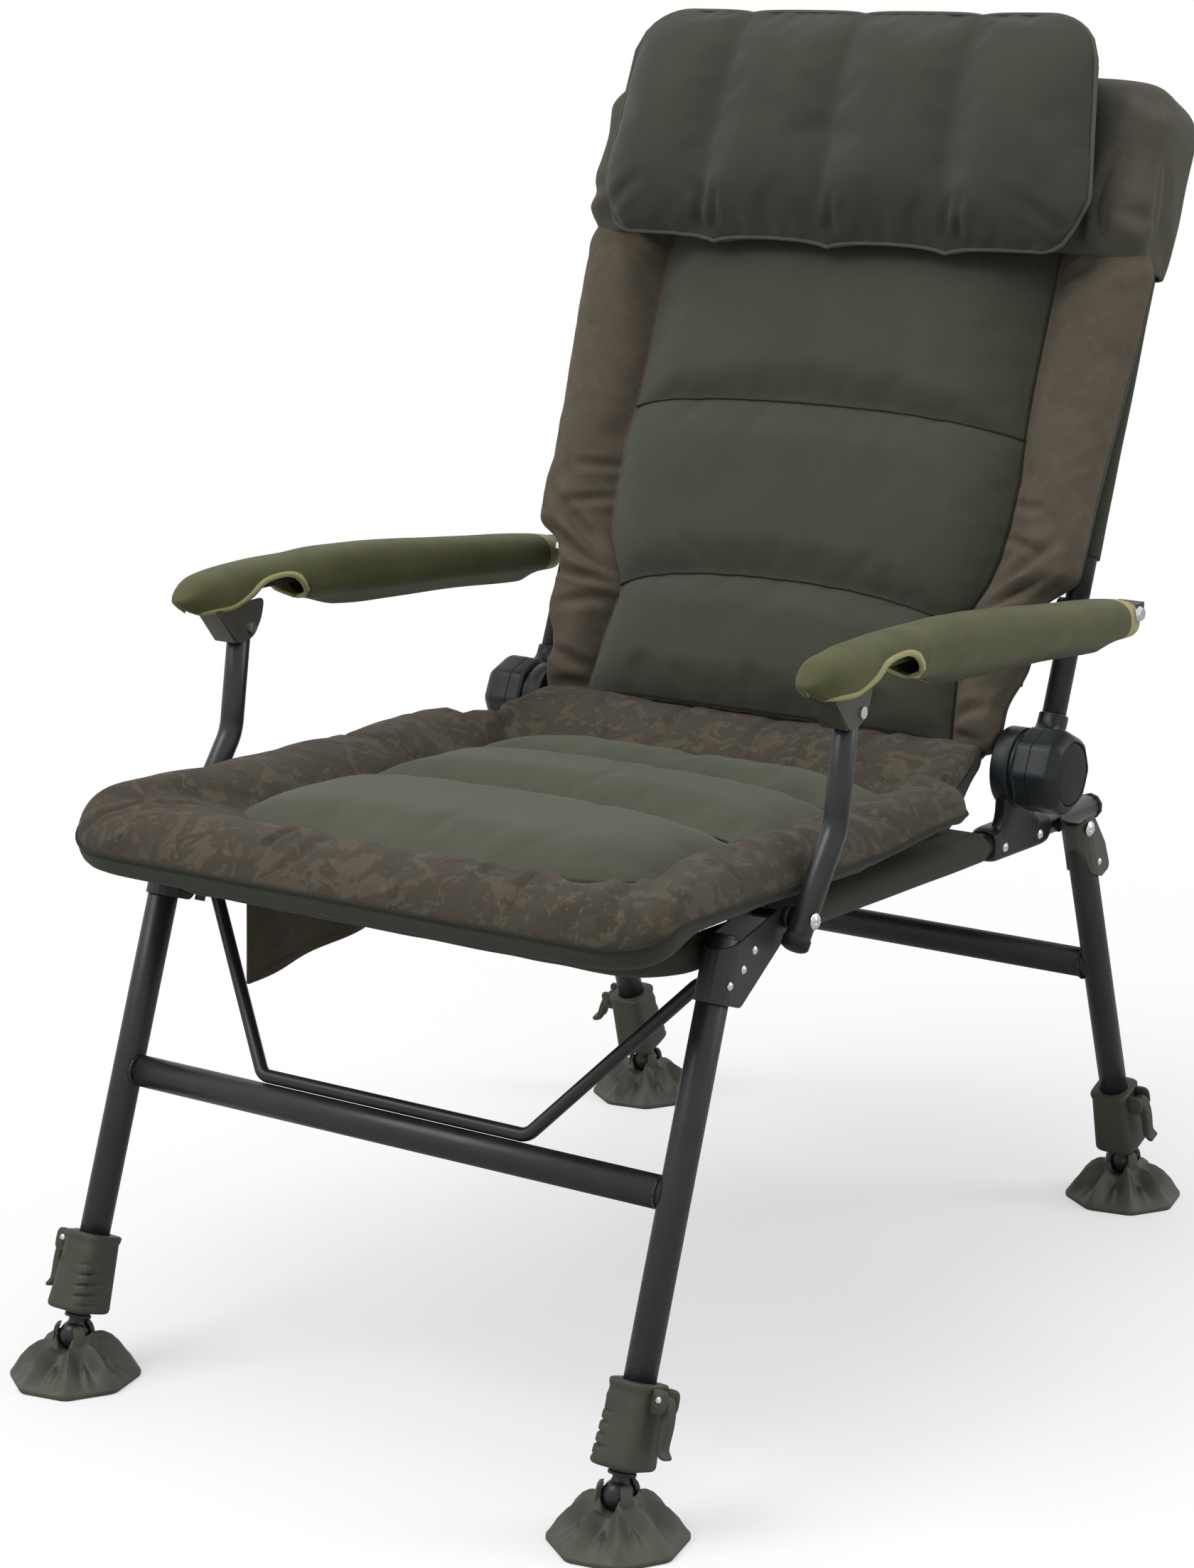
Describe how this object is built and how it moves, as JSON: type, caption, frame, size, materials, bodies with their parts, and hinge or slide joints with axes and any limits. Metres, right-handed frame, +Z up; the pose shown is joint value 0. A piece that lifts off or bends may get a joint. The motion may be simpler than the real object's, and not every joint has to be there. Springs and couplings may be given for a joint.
{
  "type": "reclining fishing chair",
  "caption": "High-back reclining fishing chair with padded seat, back, pillow and armrests, two locking recliner hubs, folding leg frames and telescopic legs with mud feet",
  "frame": {"origin": "on the floor, under the middle of the bounding box of the chair as it stands open", "axes": "+Z up, the sitter faces -Y, +X is the sitter's left"},
  "size_m": [0.6598, 0.9588, 1.0855],
  "materials": {
    "frame_paint": "dark gunmetal paint, soft sheen",
    "pressed_steel": "black-grey painted pressed steel",
    "pressed_olive": "olive-grey painted pressed steel",
    "bolts": "bright zinc-plated steel",
    "hub_plastic": "near-black moulded plastic",
    "cap_plastic": "dark brown moulded plastic",
    "foot_plastic": "dark olive-grey moulded plastic",
    "border_cloth": "brown-taupe woven polyester with a faint tonal camouflage pattern",
    "panel_cloth": "dark olive-grey brushed micro-fleece",
    "sling_cloth": "dark olive woven polyester",
    "arm_sleeve": "olive-green neoprene sleeve"
  },
  "bodies": {
    "seat": {"seat_frame": "frame_paint", "seat_sling": "sling_cloth", "seat_cushion": "border_cloth", "side_pocket": "sling_cloth", "rail_end_cap_left": "hub_plastic", "rail_bracket_left": "pressed_steel", "recliner_base_left": "hub_plastic", "post_bolt_left": "bolts", "rear_leg_bolt_left": "bolts", "rail_end_cap_right": "hub_plastic", "rail_bracket_right": "pressed_steel", "recliner_base_right": "hub_plastic", "post_bolt_right": "bolts", "rear_leg_bolt_right": "bolts"},
    "back": {"back_frame": "frame_paint", "back_sling": "sling_cloth", "back_cushion": "border_cloth", "headrest_pillow": "panel_cloth", "back_socket_left": "hub_plastic", "arm_bolt_left": "bolts", "back_socket_right": "hub_plastic", "arm_bolt_right": "bolts"},
    "arm_left": {"armrest_bar_left": "pressed_steel", "armrest_pad_left": "arm_sleeve", "armrest_clip_left": "pressed_olive", "armrest_rivet_left": "bolts"},
    "post_left": {"armrest_post_left": "frame_paint"},
    "knob_left": {"recliner_knob_left": "hub_plastic", "knob_cap_left": "cap_plastic"},
    "arm_right": {"armrest_bar_right": "pressed_steel", "armrest_pad_right": "arm_sleeve", "armrest_clip_right": "pressed_olive", "armrest_rivet_right": "bolts"},
    "post_right": {"armrest_post_right": "frame_paint"},
    "knob_right": {"recliner_knob_right": "hub_plastic", "knob_cap_right": "cap_plastic"},
    "front_legs": {"front_leg_frame": "frame_paint", "front_leg_bracket_left": "pressed_steel", "front_leg_bracket_right": "pressed_steel", "front_collar_left": "foot_plastic", "front_collar_right": "foot_plastic", "stay_bar": "frame_paint"},
    "front_shin_left": {"front_inner_leg_left": "frame_paint"},
    "front_cam_left": {"front_lever_left": "foot_plastic"},
    "front_pad_left": {"front_foot_left": "foot_plastic"},
    "front_shin_right": {"front_inner_leg_right": "frame_paint"},
    "front_cam_right": {"front_lever_right": "foot_plastic"},
    "front_pad_right": {"front_foot_right": "foot_plastic"},
    "rear_legs": {"rear_leg_frame": "frame_paint", "rear_leg_bracket_left": "pressed_olive", "rear_leg_bracket_right": "pressed_olive", "rear_collar_left": "foot_plastic", "rear_collar_right": "foot_plastic"},
    "rear_shin_left": {"rear_inner_leg_left": "frame_paint"},
    "rear_cam_left": {"rear_lever_left": "foot_plastic"},
    "rear_pad_left": {"rear_foot_left": "foot_plastic"},
    "rear_shin_right": {"rear_inner_leg_right": "frame_paint"},
    "rear_cam_right": {"rear_lever_right": "foot_plastic"},
    "rear_pad_right": {"rear_foot_right": "foot_plastic"}
  },
  "joints": [
    {"name": "back_recline", "type": "hinge", "parent": "seat", "child": "back", "pos_m": [0, 0.22624, 0.45203], "axis": [1, 0, 0], "range_deg": [-28, 82], "deforming": ["back_cushion", "headrest_pillow"]},
    {"name": "arm_left_swing", "type": "hinge", "parent": "back", "child": "arm_left", "pos_m": [0, 0.29391, 0.58453], "axis": [1, 0, 0], "range_deg": [-81, 28]},
    {"name": "post_left_swing", "type": "hinge", "parent": "seat", "child": "post_left", "pos_m": [0, -0.22067, 0.43002], "axis": [1, 0, 0], "range_deg": [-26, 76]},
    {"name": "arm_right_swing", "type": "hinge", "parent": "back", "child": "arm_right", "pos_m": [0, 0.29391, 0.58453], "axis": [1, 0, 0], "range_deg": [-81, 28]},
    {"name": "post_right_swing", "type": "hinge", "parent": "seat", "child": "post_right", "pos_m": [0, -0.22067, 0.43002], "axis": [1, 0, 0], "range_deg": [-26, 76]},
    {"name": "front_legs_fold", "type": "hinge", "parent": "seat", "child": "front_legs", "pos_m": [0, -0.22067, 0.43002], "axis": [-1, 0, 0], "range_deg": [-95, 0], "deforming": ["side_pocket"]},
    {"name": "rear_legs_fold", "type": "hinge", "parent": "seat", "child": "rear_legs", "pos_m": [0, 0.30002, 0.38548], "axis": [-1, 0, 0], "range_deg": [0, 92]},
    {"name": "front_left_extend", "type": "slide", "parent": "front_legs", "child": "front_shin_left", "axis": [0, -0.3437, -0.9391], "range_m": [0, 0.15]},
    {"name": "front_left_foot_tilt", "type": "hinge", "parent": "front_shin_left", "child": "front_pad_left", "pos_m": [0.2685, -0.4279, 0.036], "axis": [1, 0, 0], "range_deg": [-25, 8]},
    {"name": "front_left_cam", "type": "hinge", "parent": "front_legs", "child": "front_cam_left", "pos_m": [0.2931, -0.4035, 0.10268], "axis": [0, -0.9391, 0.3437], "range_deg": [0, 100]},
    {"name": "front_right_extend", "type": "slide", "parent": "front_legs", "child": "front_shin_right", "axis": [0, -0.3437, -0.9391], "range_m": [0, 0.15]},
    {"name": "front_right_foot_tilt", "type": "hinge", "parent": "front_shin_right", "child": "front_pad_right", "pos_m": [-0.2685, -0.4279, 0.036], "axis": [1, 0, 0], "range_deg": [-25, 8]},
    {"name": "front_right_cam", "type": "hinge", "parent": "front_legs", "child": "front_cam_right", "pos_m": [-0.2931, -0.4035, 0.10268], "axis": [0, 0.9391, -0.3437], "range_deg": [0, 100]},
    {"name": "rear_left_extend", "type": "slide", "parent": "rear_legs", "child": "rear_shin_left", "axis": [0, 0.3256, -0.9455], "range_m": [0, 0.15]},
    {"name": "rear_left_foot_tilt", "type": "hinge", "parent": "rear_shin_left", "child": "rear_pad_left", "pos_m": [0.2685, 0.42448, 0.036], "axis": [1, 0, 0], "range_deg": [-8, 25]},
    {"name": "rear_left_cam", "type": "hinge", "parent": "rear_legs", "child": "rear_cam_left", "pos_m": [0.2931, 0.40137, 0.10313], "axis": [0, -0.9455, -0.3256], "range_deg": [0, 100]},
    {"name": "rear_right_extend", "type": "slide", "parent": "rear_legs", "child": "rear_shin_right", "axis": [0, 0.3256, -0.9455], "range_m": [0, 0.15]},
    {"name": "rear_right_foot_tilt", "type": "hinge", "parent": "rear_shin_right", "child": "rear_pad_right", "pos_m": [-0.2685, 0.42448, 0.036], "axis": [1, 0, 0], "range_deg": [-8, 25]},
    {"name": "rear_right_cam", "type": "hinge", "parent": "rear_legs", "child": "rear_cam_right", "pos_m": [-0.2931, 0.40137, 0.10313], "axis": [0, 0.9455, 0.3256], "range_deg": [-29, 71]},
    {"name": "knob_left_turn", "type": "hinge", "parent": "seat", "child": "knob_left", "pos_m": [0, 0.22624, 0.45203], "axis": [1, 0, 0], "continuous": true},
    {"name": "knob_right_turn", "type": "hinge", "parent": "seat", "child": "knob_right", "pos_m": [0, 0.22624, 0.45203], "axis": [1, 0, 0], "continuous": true}
  ],
  "couplings": [
    {"joint": "arm_left_swing", "follows": "back_recline", "ratio": -0.984},
    {"joint": "post_left_swing", "follows": "back_recline", "ratio": 0.9197},
    {"joint": "arm_right_swing", "follows": "back_recline", "ratio": -0.984},
    {"joint": "post_right_swing", "follows": "back_recline", "ratio": 0.9197}
  ]
}
